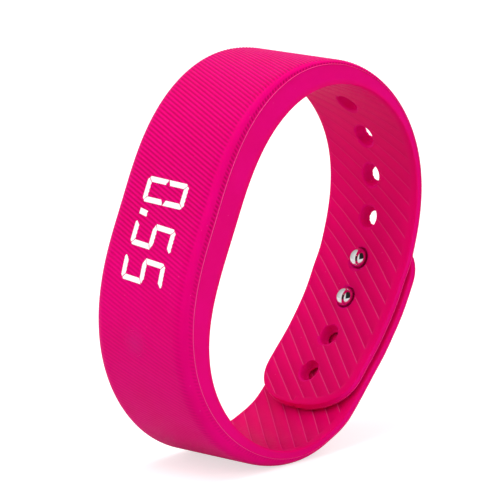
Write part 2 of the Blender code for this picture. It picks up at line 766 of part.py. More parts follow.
def build():
    make_sleeve()
    make_clasp(make_straps())
    make_key()
    core = add_empty("core_axis", CORE_FRAME)
    make_casing(core)
    make_boards(core)
    make_key_stack()
    make_display(core)
    make_battery(core)
    make_plug(core)


build()
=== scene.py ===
"""Looks of the fitness tracker band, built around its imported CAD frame.

Loop angles run from the display (0 degrees, -Y) over the top (90) to the back (180) and the
bottom (270). The stud strap is counted the other way, from below the display back to its tip.
A place on the band is its loop angle, its distance x from the middle and its offset outward.
"""

import json
import math

import bmesh
import bpy
import numpy as np
from mathutils import Matrix, Vector

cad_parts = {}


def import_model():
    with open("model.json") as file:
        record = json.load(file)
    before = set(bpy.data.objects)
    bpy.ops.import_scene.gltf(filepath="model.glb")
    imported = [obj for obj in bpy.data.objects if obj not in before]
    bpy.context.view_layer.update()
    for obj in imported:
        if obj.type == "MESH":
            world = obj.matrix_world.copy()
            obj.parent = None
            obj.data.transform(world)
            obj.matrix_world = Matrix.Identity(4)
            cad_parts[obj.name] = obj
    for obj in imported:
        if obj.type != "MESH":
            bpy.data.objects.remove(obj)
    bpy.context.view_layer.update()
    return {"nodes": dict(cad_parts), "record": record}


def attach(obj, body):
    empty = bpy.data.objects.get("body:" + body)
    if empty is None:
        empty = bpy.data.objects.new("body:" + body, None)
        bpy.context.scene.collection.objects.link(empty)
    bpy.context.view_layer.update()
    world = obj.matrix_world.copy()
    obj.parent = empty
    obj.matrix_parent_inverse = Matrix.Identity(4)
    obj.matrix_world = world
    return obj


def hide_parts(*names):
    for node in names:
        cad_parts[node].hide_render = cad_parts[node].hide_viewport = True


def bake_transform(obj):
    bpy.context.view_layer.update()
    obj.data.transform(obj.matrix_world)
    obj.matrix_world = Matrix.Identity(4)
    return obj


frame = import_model()

MM = 0.001

# ---------------- the band's shape, as in the CAD model

LOOP_RADII = np.array([27.8, 25.1, 29.1, 36.4, 39.3, 35.8, 28.9, 26.1, 28.0, 36.5, 38.5, 34.8]) * MM
SIDE_HEIGHTS = np.array([5.8, 6.2, 6.3, 5.6, 2.8, 1.4, 1.35, 1.35, 1.35, 1.4, 2.1, 3.9]) * MM
FRONT_WIDTH = 27.5 * MM
STRAP_WIDTH = 26.3 * MM
FRONT_RISE = 2.9 * MM
STRAP_RISE = 0.95 * MM
FRONT_EDGE = 3.0 * MM
STRAP_EDGE = 1.3 * MM
STRAP_THICKNESS = 2.3 * MM
GAP = 0.3 * MM
OVERLAP_OFFSET = STRAP_THICKNESS + GAP
TIP_ROUND = 10.0 * MM
FIRST_HOLE = 130.9
HOLE_PITCH = 9.0 * MM
HOLE_COUNT = 8
TIP_BEYOND_HOLE = 9.0 * MM
STUD_HOLES = (4, 5)
STUD_TIP_BEYOND = 6.4 * MM
HOLE_SHIFT = -0.6 * MM
FASTENED_LIFT = 0.5 * MM
FASTENED_RANGE = (185, 199)
TIP_LIFT = 1.4 * MM
TIP_LIFT_RANGE = (226, 256)
REJOIN_RANGE = (257, 269)
THICK_MIDDLE = 5
THICK_FADE = (50, 100)  # how far from that middle the front starts to get thinner, and is thin
WIDE_FADE = (75, 150)
BARE_RANGE = (-70, 170)  # here no strap lies over the band
TABLE_RANGE = (-200.0, 300.0)
TABLE_STEP = 0.25

HOLE_ROOT = 115.0
HOLE_MIDDLE = 165.2
STUD_MIDDLE = 262.0 - 360
STUD_ROOT = 290.0 - 360

CORE_ANGLE = 9.2
CORE_LOW = -23.0 * MM
CORE_HIGH = 21.0 * MM
CORE_WIDTH = 20.0 * MM
SKIN = 1.4 * MM
TONGUE_WIDTH = 12.0 * MM
TONGUE_THICKNESS = 2.0 * MM
TONGUE_END = 33.0 * MM
TONGUE_LIFT = 2.5 * MM
KEY_PLACE = (-1.0 * MM, -18.8 * MM)
KEY_RADIUS = 2.7 * MM
KEY_THICKNESS = 1.0 * MM


def periodic_spline(values):
    """The smooth closed curve through evenly spaced values, as a function of degrees."""
    count = len(values)
    step = 2 * math.pi / count
    system = 4 * np.eye(count) + np.roll(np.eye(count), 1, axis=1) + np.roll(np.eye(count), -1, axis=1)
    second = np.roll(values, -1) - 2 * values + np.roll(values, 1)
    bend = np.linalg.solve(system, 6 * second / step**2)

    def value(degrees):
        place = (np.radians(degrees) / step) % count
        low = np.floor(place).astype(int) % count
        high = (low + 1) % count
        after = place - np.floor(place)
        before = 1 - after
        straight = before * values[low] + after * values[high]
        curved = (before**3 - before) * bend[low] + (after**3 - after) * bend[high]
        return straight + curved * step**2 / 6

    return value


loop_radius = periodic_spline(LOOP_RADII)
side_height = periodic_spline(SIDE_HEIGHTS)


def smooth(share):
    share = np.clip(share, 0.0, 1.0)
    return share * share * (3 - 2 * share)


def ramp(degrees, start, end):
    return smooth((np.asarray(degrees) - start) / (end - start))


def near_front(degrees, full, none):
    away = np.abs((np.asarray(degrees) + 180) % 360 - 180)
    return 1 - smooth((away - full) / (none - full))


def thick_share(degrees):
    """1 in the thick front and 0 in the straps."""
    return near_front(np.asarray(degrees) - THICK_MIDDLE, *THICK_FADE)


def face_rise(degrees):
    return STRAP_RISE + (FRONT_RISE - STRAP_RISE) * thick_share(degrees)


def edge_width(degrees):
    return STRAP_EDGE + (FRONT_EDGE - STRAP_EDGE) * thick_share(degrees)


def half_width(degrees):
    return (STRAP_WIDTH + (FRONT_WIDTH - STRAP_WIDTH) * near_front(degrees, *WIDE_FADE)) / 2


def no_offset(degrees):
    return 0.0 * np.asarray(degrees)


def outer_offset(degrees):
    return side_height(degrees) + face_rise(degrees)


def inner_point(degrees):
    angle = np.radians(degrees)
    radius = loop_radius(degrees)
    return np.stack([-radius * np.cos(angle), radius * np.sin(angle)], axis=-1)


def outward(degrees):
    step = 0.01
    along = inner_point(degrees + step) - inner_point(degrees - step)
    along = along / np.linalg.norm(along, axis=-1, keepdims=True)
    return np.stack([-along[..., 1], along[..., 0]], axis=-1)


def loop_point(degrees, offset):
    degrees = np.asarray(degrees, float)
    return inner_point(degrees) + np.asarray(offset)[..., None] * outward(degrees)


def arc_table(offset):
    """Distance along the band at that offset, at closely spaced angles, 0 at the display side."""
    degrees = np.arange(*TABLE_RANGE, TABLE_STEP)
    points = loop_point(degrees, offset(degrees))
    lengths = np.concatenate([[0], np.cumsum(np.linalg.norm(np.diff(points, axis=0), axis=1))])
    return degrees, lengths - np.interp(0.0, degrees, lengths)


INNER_ARC = arc_table(no_offset)
OUTER_ARC = arc_table(outer_offset)


def arc_at(degrees, table=INNER_ARC):
    return np.interp(degrees, *table)


def degrees_at(arc, table=INNER_ARC):
    return np.interp(arc, table[1], table[0])


HOLES = degrees_at(arc_at(FIRST_HOLE) + HOLE_PITCH * np.arange(HOLE_COUNT))
HOLE_TIP = float(degrees_at(arc_at(HOLES[-1]) + TIP_BEYOND_HOLE))
STUD_TIP = float(degrees_at(arc_at(HOLES[STUD_HOLES[0]]) - STUD_TIP_BEYOND)) - 360


def hole_strap_offset(degrees):
    """The hole strap's inner face: inside the loop where it is fastened, and more so towards its tip."""
    return -FASTENED_LIFT * ramp(degrees, *FASTENED_RANGE) - TIP_LIFT * ramp(degrees, *TIP_LIFT_RANGE)


def stud_strap_offset(degrees):
    """The stud strap's inner face: out over the hole strap, then back to the loop's own inner face."""
    degrees = np.asarray(degrees) % 360
    return (OVERLAP_OFFSET + hole_strap_offset(degrees)) * (1 - ramp(degrees, *REJOIN_RANGE))


def loop_centre():
    """How far the loop is moved to stand on the ground with its outline centred."""
    step = 2
    front = np.arange(*BARE_RANGE, step)
    back = np.arange(int(STUD_TIP + 360), BARE_RANGE[0] + 360, step)
    outline = np.concatenate([
        loop_point(front, outer_offset(front)),
        loop_point(back, stud_strap_offset(back) + outer_offset(back)),
    ])
    low, high = outline.min(axis=0), outline.max(axis=0)
    return np.array([-(low[0] + high[0]) / 2, -low[1]])


CENTRE = loop_centre()


def world(degrees, offset, x):
    """Points of the row frame, one for each of the places given."""
    flat = CENTRE + loop_point(degrees, offset)
    x = np.broadcast_to(x, flat.shape[:-1])
    return np.concatenate([x[..., None], flat], axis=-1)


def spot(degrees, offset=0.0, x=0.0):
    return Vector(world(float(degrees), float(offset), float(x)))


def frame_at(degrees, offset=0.0, x=0.0):
    """World matrix of a frame on the band: x across it, y along it, z outward."""
    out = outward(float(degrees))
    turn = Matrix.Rotation(math.atan2(-out[0], out[1]), 4, "X")
    return Matrix.Translation(spot(degrees, offset, x)) @ turn


# ---------------- meshes


ON_AXIS = 1e-7


def linked(name, data):
    """A new object of the scene that holds the data."""
    obj = bpy.data.objects.new(name, data)
    bpy.context.scene.collection.objects.link(obj)
    return obj


def bmesh_object(name, bm):
    """An object with its faces outward: a cutter that is inside out leaves a skin over its cut."""
    bmesh.ops.recalc_face_normals(bm, faces=bm.faces)
    if bm.calc_volume(signed=True) < 0:
        bmesh.ops.reverse_faces(bm, faces=bm.faces)
    mesh = bpy.data.meshes.new(name)
    bm.to_mesh(mesh)
    bm.free()
    return linked(name, mesh)


def applied(obj):
    """Makes the object's modifiers part of its mesh."""
    graph = bpy.context.evaluated_depsgraph_get()
    mesh = bpy.data.meshes.new_from_object(obj.evaluated_get(graph))
    obj.modifiers.clear()
    obj.data = mesh
    return obj


def carve(obj, operation, *cutters):
    """Cuts the obj with closed cutters, or keeps only what lies inside them, then removes them."""
    for cutter in cutters:
        modifier = obj.modifiers.new(cutter.name, "BOOLEAN")
        modifier.operation = operation
        modifier.solver = "MANIFOLD"
        modifier.object = cutter
    applied(obj)
    for cutter in cutters:
        bpy.data.objects.remove(cutter)
    return obj


def shade(obj, angle=38):
    obj.data.shade_smooth()
    obj.data.set_sharp_from_angle(angle=math.radians(angle))
    return obj


def rounded(obj, width, segments=3, angle=40):
    modifier = obj.modifiers.new("round", "BEVEL")
    modifier.width = width
    modifier.segments = segments
    modifier.limit_method = "ANGLE"
    modifier.angle_limit = math.radians(angle)
    return applied(obj)


def turned(name, profile, matrix, segments=64):
    """A body of revolution about z, from a half outline of (radius, z) that ends on the axis."""
    ring = np.linspace(0, 2 * math.pi, segments, endpoint=False)
    bm = bmesh.new()
    rows = []
    for radius, height in profile:
        if radius < ON_AXIS:
            rows.append([bm.verts.new((0, 0, height))] * segments)
            continue
        circle = [(radius * math.cos(a), radius * math.sin(a), height) for a in ring]
        rows.append([bm.verts.new(point) for point in circle])
    for low, high in zip(rows, rows[1:]):
        for i in range(segments):
            j = (i + 1) % segments
            corners = list(dict.fromkeys((low[i], low[j], high[j], high[i])))
            bm.faces.new(corners)
    bmesh.ops.transform(bm, matrix=matrix, verts=bm.verts)
    return bmesh_object(name, bm)


def cylinder(name, radius, low, high, matrix, segments=64):
    return turned(name, [(0, low), (radius, low), (radius, high), (0, high)], matrix, segments)


def laid_on(name, outlines, place, low, high, step=0.8 * MM):
    """Flat outlines of (x, s) laid on the band: place(s, height) gives the loop angle and offset."""
    bm = bmesh.new()
    for outline in outlines:
        bm.faces.new([bm.verts.new((x, s, high)) for x, s in outline])
    spans = [s for outline in outlines for _, s in outline]
    for s in np.arange(min(spans), max(spans), step)[1:]:
        whole = bm.verts[:] + bm.edges[:] + bm.faces[:]
        bmesh.ops.bisect_plane(bm, geom=whole, plane_co=(0, s, 0), plane_no=(0, 1, 0))
    tops = bm.faces[:]
    made = bmesh.ops.extrude_face_region(bm, geom=tops, use_keep_orig=True)["geom"]
    moved = [item for item in made if isinstance(item, bmesh.types.BMVert)]
    bmesh.ops.translate(bm, verts=moved, vec=(0, 0, low - high))
    flat = np.array([vert.co for vert in bm.verts])
    degrees, offset = place(flat[:, 1], flat[:, 2])
    for vert, point in zip(bm.verts, world(degrees, offset, flat[:, 0])):
        vert.co = point
    return bmesh_object(name, bm)


# ---------------- the silicone skin

RIB_PITCH = 0.895 * MM  # along the band
RIB_SLOPE = 0.385  # how far a rib runs back along the band for each step across it
RIB_DEPTH = 0.15 * MM
SEAM_HEIGHT = 0.16 * MM
GROOVE_PITCH = 2.8 * MM  # square to the grooves of the inner face
GROOVE_DEPTH = 0.30 * MM
GROOVE_BORDERS = {-1: (0.5 * MM, 1.0 * MM), 1: (1.5 * MM, 2.3 * MM)}  # at the -X and the +X side
GROOVE_TURN = (165, 180, 197, 217, 232)  # where round the loop the grooves have each slope
GROOVE_SLOPES = (0.66, 0.72, 0.80, 0.80, 0.80)
RIBBED = ((-45, -15, 12, 30), (0.3, 0.4, 0.85, 1.0))  # how fully the ribs stand, by loop angle
STEPPED = ((120, 165, 205), (0.3, 0.5, 1.0))
FACE_RIBS = (0.78, 0.92)  # shares of the way up the round edge, here and in the next two lines
TEETH_START = (0.04, 0.12)
TEETH_END = (0.30, 0.46)
STEP_CREST = 0.88  # share of a step's width at which it has its full depth
STEP_POWER = 1.5
INNER_ROUND_FRONT = 0.4 * MM
INNER_ROUND_STRAP = 1.5 * MM
INNER_ROUND_DEPTH = 0.3 * MM
EDGE_TURNS = np.radians([78, 66, 56, 47, 39, 32, 26, 20, 15, 10, 6, 3])
WALL_SHARES = (0.985, 0.965, 0.93, 0.75, 0.5, 0.25)
SHADED_SHARE = WALL_SHARES[1]  # painted shade runs here as a dark line, just under the seam
INNER_TURNS = np.radians([0, 18, 36, 54, 72])
INNER_ROUND_FADE = (75, 115)
FACE, EDGE, SEAM, WALL, UNDER_SEAM, INNER_EDGE, INNER = range(7)  # round the cut, from outside in
FRONT_COUNTS = (58, 14)  # points across the outer face and across the inner one
STRAP_COUNTS = (58, 60)
TIP_POWER = 2.2  # 2 would make the tip's outline half an ellipse
TIP_SHARES = np.concatenate([[0, 1e-4, 1e-3, 4e-3, 0.01, 0.02, 0.035], np.linspace(0.05, 1.6, 90)])
TIP_REACH = 1.5 * TIP_ROUND  # further from the tip, its outline is nowhere the nearest
TIP_FLAT = 0.1 * MM
TIP_EDGE_SHARE = 0.6  # the most of the narrowing half width that the round edge takes
TIP_FINE = np.array([2.0, 1.75, 1.5, 1.3, 1.1, 0.9, 0.72, 0.56, 0.42, 0.3, 0.2, 0.12, 0.06, 0.02]) * MM
FAR = 1.0
GRID_SHARP = 48


def ring_shape(half, side, rise, edge, inner_wide, outer_count, inner_count):
    """One cut across the band for each station: x, height, outward direction and kind of face.

    Each array has a row for each station and a column for each point round the cut.
    """
    inner_deep = INNER_ROUND_DEPTH
    inner_wide = np.minimum(inner_wide, 0.5 * half)
    columns = []

    def add(x, height, out_x, out_h, kind):
        values = (x, height, out_x, out_h, kind)
        columns.append([np.broadcast_to(np.asarray(value, float), half.shape) for value in values])

    def one_side(mirror):
        """From the outer face down the side to the inner face at +X, or back up it at -X."""
        made = []
        for turn in EDGE_TURNS:
            x = half - edge * (1 - math.cos(turn))
            made.append((x, side + rise * math.sin(turn), math.cos(turn), math.sin(turn), EDGE))
        made.append((half, side, 1, 0, SEAM))
        for share in WALL_SHARES:
            kind = UNDER_SEAM if share == SHADED_SHARE else WALL
            made.append((half, inner_deep + (side - inner_deep) * share, 1, 0, kind))
        for turn in INNER_TURNS:
            x = half - inner_wide * (1 - math.cos(turn))
            height = inner_deep * (1 - math.sin(turn))
            made.append((x, height, math.cos(turn), -math.sin(turn), INNER_EDGE))
        if mirror:
            made = [(-x, h, -a, b, kind) for x, h, a, b, kind in reversed(made)]
        return made

    for share in np.linspace(-1, 1, outer_count):
        add(share * (half - edge), side + rise, 0, 1, FACE)
    for point in one_side(False):
        add(*point)
    for share in np.linspace(1, -1, inner_count):
        add(share * (half - inner_wide), 0, 0, -1, INNER)
    for point in one_side(True):
        add(*point)
    return [np.stack([column[i] for column in columns], axis=1) for i in range(5)]


def outline_distance(x, beyond, half_full):
    """Distance of each point from the round tip's outline; `beyond` is each station's from the tip."""
    away = TIP_SHARES * TIP_ROUND
    width = half_full * tip_share(away)
    nearest = np.full(x.shape, FAR)
    for place, half in zip(away, width):
        distance = np.hypot(np.abs(x) - half, beyond[:, None] - place)
        nearest = np.minimum(nearest, distance)
    inside_tip = np.abs(x) < half_full * tip_share(TIP_FLAT)
    return np.where(inside_tip, np.minimum(nearest, beyond[:, None]), nearest)


def tip_share(beyond):
    """How much of its width the strap has, `beyond` from its round tip."""
    return (1 - (1 - np.clip(beyond / TIP_ROUND, 0, 1)) ** TIP_POWER) ** (1 / TIP_POWER)


def inner_round(degrees):
    """Width of the rounding along the rim of the inner face."""
    more = INNER_ROUND_FRONT - INNER_ROUND_STRAP
    return INNER_ROUND_STRAP + more * near_front(degrees, *INNER_ROUND_FADE)


def quarter_round(share):
    """Height of a quarter ellipse, 0 at its foot and 1 at its top."""
    return np.sqrt(np.clip(1 - (1 - np.clip(share, 0, 1)) ** 2, 0, 1))


def rib_phase(outer_arc, across):
    return (outer_arc + RIB_SLOPE * across) / RIB_PITCH


def rib_amount(share):
    """How fully the ribs stand, `share` of the way up the round edge: a row of teeth, then the face."""
    teeth = ramp(share, *TEETH_START) * (1 - ramp(share, *TEETH_END))
    return np.maximum(ramp(share, *FACE_RIBS), teeth)


def groove_phase(inner_arc, x, degrees):
    """Slanting steps of the inner face, counted from the first stud's hole."""
    slope = np.interp(degrees, GROOVE_TURN, GROOVE_SLOPES)
    start = arc_at(HOLES[STUD_HOLES[0]])
    return (inner_arc - start - slope * x) / np.sqrt(1 + slope**2) / GROOVE_PITCH


def groove_amount(distance, x):
    """How fully the steps stand: they run nearer to the edge at one side."""
    left, right = (ramp(distance, *GROOVE_BORDERS[side]) for side in (-1, 1))
    return np.where(x < 0, left, right)


def stations(start, end, step):
    """Angles evenly spaced along the outer face, from one angle to another."""
    low, high = arc_at(start, OUTER_ARC), arc_at(end, OUTER_ARC)
    count = max(2, round(abs(high - low) / step) + 1)
    return degrees_at(np.linspace(low, high, count), OUTER_ARC)


def tip_stations(tip, inward, step):
    """Angles at a round tip, closer and closer together towards it."""
    even = np.arange(TIP_ROUND + step, TIP_FINE[0], -step)
    return degrees_at(arc_at(tip) + inward * np.concatenate([even, TIP_FINE]))


def band_skin(name, degrees, base=no_offset, tip=None, grooves=True, counts=STRAP_COUNTS):
    """A closed stretch of the band, ribbed outside, stepped inside, with a seam along its edges."""
    degrees = np.asarray(degrees, float)
    side, rise = side_height(degrees), face_rise(degrees)
    half, edge, inner_wide = half_width(degrees), edge_width(degrees), inner_round(degrees)
    full, full_edge, beyond = half, edge, None
    if tip is not None:
        beyond = np.abs(arc_at(tip) - arc_at(degrees))
        half = half * tip_share(beyond)
        edge = np.minimum(edge, TIP_EDGE_SHARE * half)
    x, height, out_x, out_h, kind = ring_shape(half, side, rise, edge, inner_wide, *counts)
    distance = half[:, None] - np.abs(x)
    if tip is not None:
        near = beyond < TIP_REACH
        to_outline = outline_distance(x[near], beyond[near], full[near].max())
        distance[near] = np.minimum(distance[near], to_outline)

    share = quarter_round(distance / full_edge[:, None])
    height = np.where(kind <= EDGE, side[:, None] + rise[:, None] * share, height)
    drop = 1 - quarter_round(distance / inner_wide[:, None])
    height = np.where(kind >= INNER_EDGE, INNER_ROUND_DEPTH * drop, height)
    round_way = (edge + rise)[:, None] / 2 * (math.pi / 2 - np.arcsin(share))
    across = np.where(kind == FACE, x, np.sign(x) * ((half - edge)[:, None] + round_way))
    marks = skin_marks(degrees, x, across, kind, distance, share, grooves)
    relief = skin_relief(marks)
    x, height = x + relief * out_x, height + relief * out_h
    points = world(degrees[:, None], base(degrees)[:, None] + height, x)
    return grid_object(name, points, marks)


def skin_marks(degrees, x, across, kind, distance, share, grooves):
    """What each point of the skin carries: the ribs' and steps' phase and strength, and its place."""
    turn = degrees % 360
    inner = kind >= INNER_EDGE
    ribbed = np.where(kind <= EDGE, rib_amount(share), 0.0) * np.interp(degrees, *RIBBED)[:, None]
    stepped = np.where(inner & grooves, groove_amount(distance, x), 0.0)
    return {
        "ribs": rib_phase(arc_at(degrees, OUTER_ARC)[:, None], across),
        "ribbed": ribbed,
        "steps": groove_phase(arc_at(turn)[:, None], x, turn[:, None]),
        "stepped": stepped * np.interp(turn, *STEPPED)[:, None],
        "inside": inner * 1.0,
        "seam": (kind == SEAM) * 1.0,
        # where the painted shade line just under the seam goes
        "seam_shade_line": (kind == UNDER_SEAM) * 1.0,
    }


def skin_relief(marks):
    """How far each point stands out from the plain skin."""
    along = marks["steps"] % 1
    into = along**STEP_POWER * (1 - ramp(along, STEP_CREST, 1))
    between = 0.5 - 0.5 * np.cos(2 * math.pi * marks["ribs"])
    relief = -RIB_DEPTH * marks["ribbed"] * between - GROOVE_DEPTH * marks["stepped"] * into
    return np.where(marks["seam"] > 0, SEAM_HEIGHT, relief)


def grid_object(name, points, marks):
    """A closed tube through rows of points, with flat caps, that carries a value for each mark."""
    rows, columns = points.shape[:2]
    index = np.arange(rows * columns).reshape(rows, columns)
    after = np.roll(index, -1, axis=1)
    quads = np.stack([index[:-1], index[1:], after[1:], after[:-1]], axis=-1).reshape(-1, 4)
    flat = points.reshape(-1, 3)
    caps = [index[0].tolist(), index[-1][::-1].tolist()]
    first, second, third = (flat[quads[:, corner]] for corner in range(3))
    if np.einsum("ij,ij->i", first, np.cross(second, third)).sum() < 0:
        quads = quads[:, ::-1]
        caps = [cap[::-1] for cap in caps]
    mesh = bpy.data.meshes.new(name)
    mesh.from_pydata(flat.tolist(), [], quads.tolist() + caps)
    mesh.update()
    obj = linked(name, mesh)
    for mark, values in marks.items():
        layer = obj.data.attributes.new(mark, "FLOAT", "POINT")
        spread = np.broadcast_to(values, (rows, columns)).astype(np.float32)
        layer.data.foreach_set("value", spread.ravel())
    return shade(obj, GRID_SHARP)


# ---------------- the pocket for the core and the key


CORE_FRAME = frame_at(CORE_ANGLE)
TO_CORE = np.array(CORE_FRAME.inverted())
CORE_REACH = (-60.0, 100.0, 1.0)  # loop angles, and the step between them
KEY_REACH = (-60.0, 60.0, 0.5)
KEY_SLOPE_SPAN = 2  # degrees either side of the key, over which the face's slope is taken
POCKET_BELOW = 5 * MM


def middle_line(degrees, offset):
    """Points along the band's middle at those offsets, in the core's frame."""
    return world(degrees, offset, 0.0) @ TO_CORE[:3, :3].T + TO_CORE[:3, 3]


def core_surface(offset):
    """Height of a band surface above the core's frame, by the place along the core."""
    degrees = np.arange(*CORE_REACH)
    points = middle_line(degrees, offset(degrees))
    return lambda y: np.interp(y, points[:, 1], points[:, 2])


core_inner = core_surface(no_offset)
core_outer = core_surface(outer_offset)


def key_frame():
    """Frame on the key's axis: z outward through the band's face, square to it."""
    places = np.arange(*KEY_REACH)
    points = middle_line(places, outer_offset(places))
    place = float(places[np.argmin(np.abs(points[:, 1] - KEY_PLACE[1]))])
    before, after = place - KEY_SLOPE_SPAN, place + KEY_SLOPE_SPAN
    low, high = spot(before, outer_offset(before)), spot(after, outer_offset(after))
    turn = Matrix.Rotation(math.atan2(high.z - low.z, high.y - low.y), 4, "X")
    return Matrix.Translation(spot(place, outer_offset(place), KEY_PLACE[0])) @ turn, place


KEY_FRAME, KEY_ANGLE = key_frame()


def pocket(name, low_y, high_y, half_x, top):
    """A cutter from well inside the loop up to a height above the core's frame."""
    places = np.linspace(low_y, high_y, 24)
    outline = [(y, core_inner(y) - POCKET_BELOW) for y in places]
    outline += [(y, top(y)) for y in places[::-1]]
    bm = bmesh.new()
    face = bm.faces.new([bm.verts.new((-half_x, y, z)) for y, z in outline])
    moved = bmesh.ops.extrude_face_region(bm, geom=[face])["geom"]
    corners = [item for item in moved if isinstance(item, bmesh.types.BMVert)]
    bmesh.ops.translate(bm, verts=corners, vec=(2 * half_x, 0, 0))
    bmesh.ops.transform(bm, matrix=CORE_FRAME, verts=bm.verts)
    return bmesh_object(name, bm)


FRONT_STEP = RIB_PITCH / 5
STRAP_STEP = 0.21 * MM
FRONT_RANGE = (-55.0, 95.0)
HOLE_SPLIT = 140.0
STUD_SPLIT = -84.0
KEY_SEAM = 0.02 * MM
KEY_HOLE_DEPTH = 3 * MM
KEY_HALF_ANGLE = 9  # of the stretch of skin that the key's cap is cut from
CUT_ABOVE = 2 * MM  # how far a cutter runs past the face that it goes in through


def make_front():
    """The thick front, open inside for the core and its tongue and outside for the key."""
    places = stations(*FRONT_RANGE, FRONT_STEP)
    front = band_skin("silicone_front", places, grooves=False, counts=FRONT_COUNTS)
    body = pocket(
        "body",
        CORE_LOW - GAP,
        CORE_HIGH + GAP,
        CORE_WIDTH / 2 + GAP,
        lambda y: core_outer(y) - SKIN,
    )
    tongue = pocket(
        "tongue",
        CORE_HIGH - MM,
        TONGUE_END + GAP,
        TONGUE_WIDTH / 2 + GAP,
        lambda y: core_inner(y) + TONGUE_LIFT + TONGUE_THICKNESS + 2 * GAP,
    )
    hole = cylinder("hole", KEY_RADIUS + KEY_SEAM, -KEY_HOLE_DEPTH, CUT_ABOVE, KEY_FRAME)
    shade(carve(front, "DIFFERENCE", body, tongue, hole))
    return front


def make_key_cap():
    """The round piece of the same ribbed skin that the finger pushes."""
    whole = stations(*FRONT_RANGE, FRONT_STEP)
    near = whole[np.abs(whole - KEY_ANGLE) < KEY_HALF_ANGLE]
    cap = band_skin("silicone_key", near, grooves=False, counts=FRONT_COUNTS)
    keep = cylinder("keep", KEY_RADIUS, -KEY_THICKNESS, CUT_ABOVE, KEY_FRAME)
    return shade(carve(cap, "INTERSECT", keep))


# ---------------- straps, holes and clasp

RECESS_RADIUS = 2.35 * MM
RECESS_DEPTH = 1.4 * MM
HOLE_RADIUS = 1.5 * MM
LIP_RADIUS = 2.75 * MM
BOWL_DEPTH = 1.9 * MM
LIP_OUTLINE = (  # radius beyond the lip's own, and depth under the inner face
    (0.5 * MM, -2.0 * MM),
    (0.15 * MM, -0.12 * MM),
    (0.0, 0.0),
    (-0.16 * MM, 0.05 * MM),
    (-0.28 * MM, 0.12 * MM),
)
LIP_FOOT = (0.03 * MM, 0.23 * MM)  # radius beyond the recess's, and depth, as in the next table
STUD_RECESS_WALL = (
    (0.0, 0.36 * MM),
    (-0.04 * MM, RECESS_DEPTH - 0.45 * MM),
    (-0.14 * MM, RECESS_DEPTH - 0.18 * MM),
    (-0.38 * MM, RECESS_DEPTH),
)
BOWL_START = 0.3 * MM
BOWL_TURNS = np.radians(np.linspace(8, 82, 8))
HOLE_EDGE = 0.1 * MM  # rounding where a recess's floor meets the hole
HOLE_END = 4 * MM


def hole_frame(index):
    degrees = float(HOLES[index])
    return frame_at(degrees, hole_strap_offset(degrees), HOLE_SHIFT)


def recess_wall(index):
    """Half outline of a recess from its lip to its floor: a bowl, or straight round a stud's head."""
    if index in STUD_HOLES:
        return [(RECESS_RADIUS + more, depth) for more, depth in STUD_RECESS_WALL]
    wide, deep = RECESS_RADIUS - HOLE_RADIUS - HOLE_EDGE, BOWL_DEPTH - BOWL_START
    return [
        (RECESS_RADIUS - wide * (1 - math.cos(a)), BOWL_START + deep * math.sin(a))
        for a in BOWL_TURNS
    ]


def hole_cutter(index):
    """A soft-lipped recess in the inner face, with a smaller hole on through the strap."""
    lip = [(0, LIP_OUTLINE[0][1])]
    lip += [(LIP_RADIUS + more, depth) for more, depth in LIP_OUTLINE]
    lip.append((RECESS_RADIUS + LIP_FOOT[0], LIP_FOOT[1]))
    floor = RECESS_DEPTH if index in STUD_HOLES else BOWL_DEPTH
    hole = [
        (HOLE_RADIUS + HOLE_EDGE, floor),
        (HOLE_RADIUS, floor + HOLE_EDGE),
        (HOLE_RADIUS, HOLE_END),
        (0, HOLE_END),
    ]
    return turned(f"hole_{index + 1}", lip + recess_wall(index) + hole, hole_frame(index), 48)


def make_hole_strap():
    base = hole_strap_offset
    places = stations(FRONT_RANGE[1], HOLE_SPLIT, STRAP_STEP)
    root = band_skin("silicone_hole_strap_root", places, base)
    tip = tip_stations(HOLE_TIP, -1, STRAP_STEP)
    angles = np.concatenate([stations(HOLE_SPLIT, tip[0], STRAP_STEP)[:-1], tip])
    end = band_skin("silicone_hole_strap", angles, base, tip=HOLE_TIP)
    for piece, inside in ((root, HOLES < HOLE_SPLIT), (end, HOLES > HOLE_SPLIT)):
        cutters = [hole_cutter(index) for index in np.flatnonzero(inside)]
        shade(carve(piece, "DIFFERENCE", *cutters))
    return root, end


STUD_HEAD_RADIUS = 2.05 * MM
STUD_HEAD_MIDDLE = -0.05 * MM
STUD_HEAD_HALF = 1.75 * MM
STUD_HEAD_END = 1.6 * MM
STUD_POST_RADIUS = 1.1 * MM
PLATE_WIDTH = 6.0 * MM
PLATE_THICKNESS = 0.7 * MM
PLATE_BEYOND_STUD = 3.2 * MM
PLATE_ROUND = 2.6 * MM
PLATE_DEPTH = 0.1 * MM
PLATE_EDGE = 0.18 * MM
PLATE_CLEARANCE = 0.12 * MM
POST_CLEARANCE = 0.05 * MM
POST_BELOW_PLATE = 0.15 * MM
BORE_SPAN = (2 * MM, 6 * MM)  # past the hole strap and through the stud strap
HEAD_TURNS = np.radians(np.linspace(0, 140, 22))
CLASP_SHARP = 50


def strap_place(arc, height):
    """Places on the stud strap's outer face, from the inner arc length and the height above that face."""
    degrees = degrees_at(arc)
    return degrees, stud_strap_offset(degrees) + outer_offset(degrees) + height


def rounded_rectangle(half_x, low, high, corner, parts=8):
    """Corners of a rectangle with round corners about the row of holes, as (x, s)."""
    corners = []
    turns = np.linspace(0, math.pi / 2, parts)
    for sign_x, sign_s, start in ((1, 1, 0), (-1, 1, 90), (-1, -1, 180), (1, -1, 270)):
        middle_x = HOLE_SHIFT + sign_x * (half_x - corner)
        middle_s = (high if sign_s > 0 else low) - sign_s * corner
        for turn in turns + math.radians(start):
            corners.append((middle_x + corner * math.cos(turn), middle_s + corner * math.sin(turn)))
    return corners


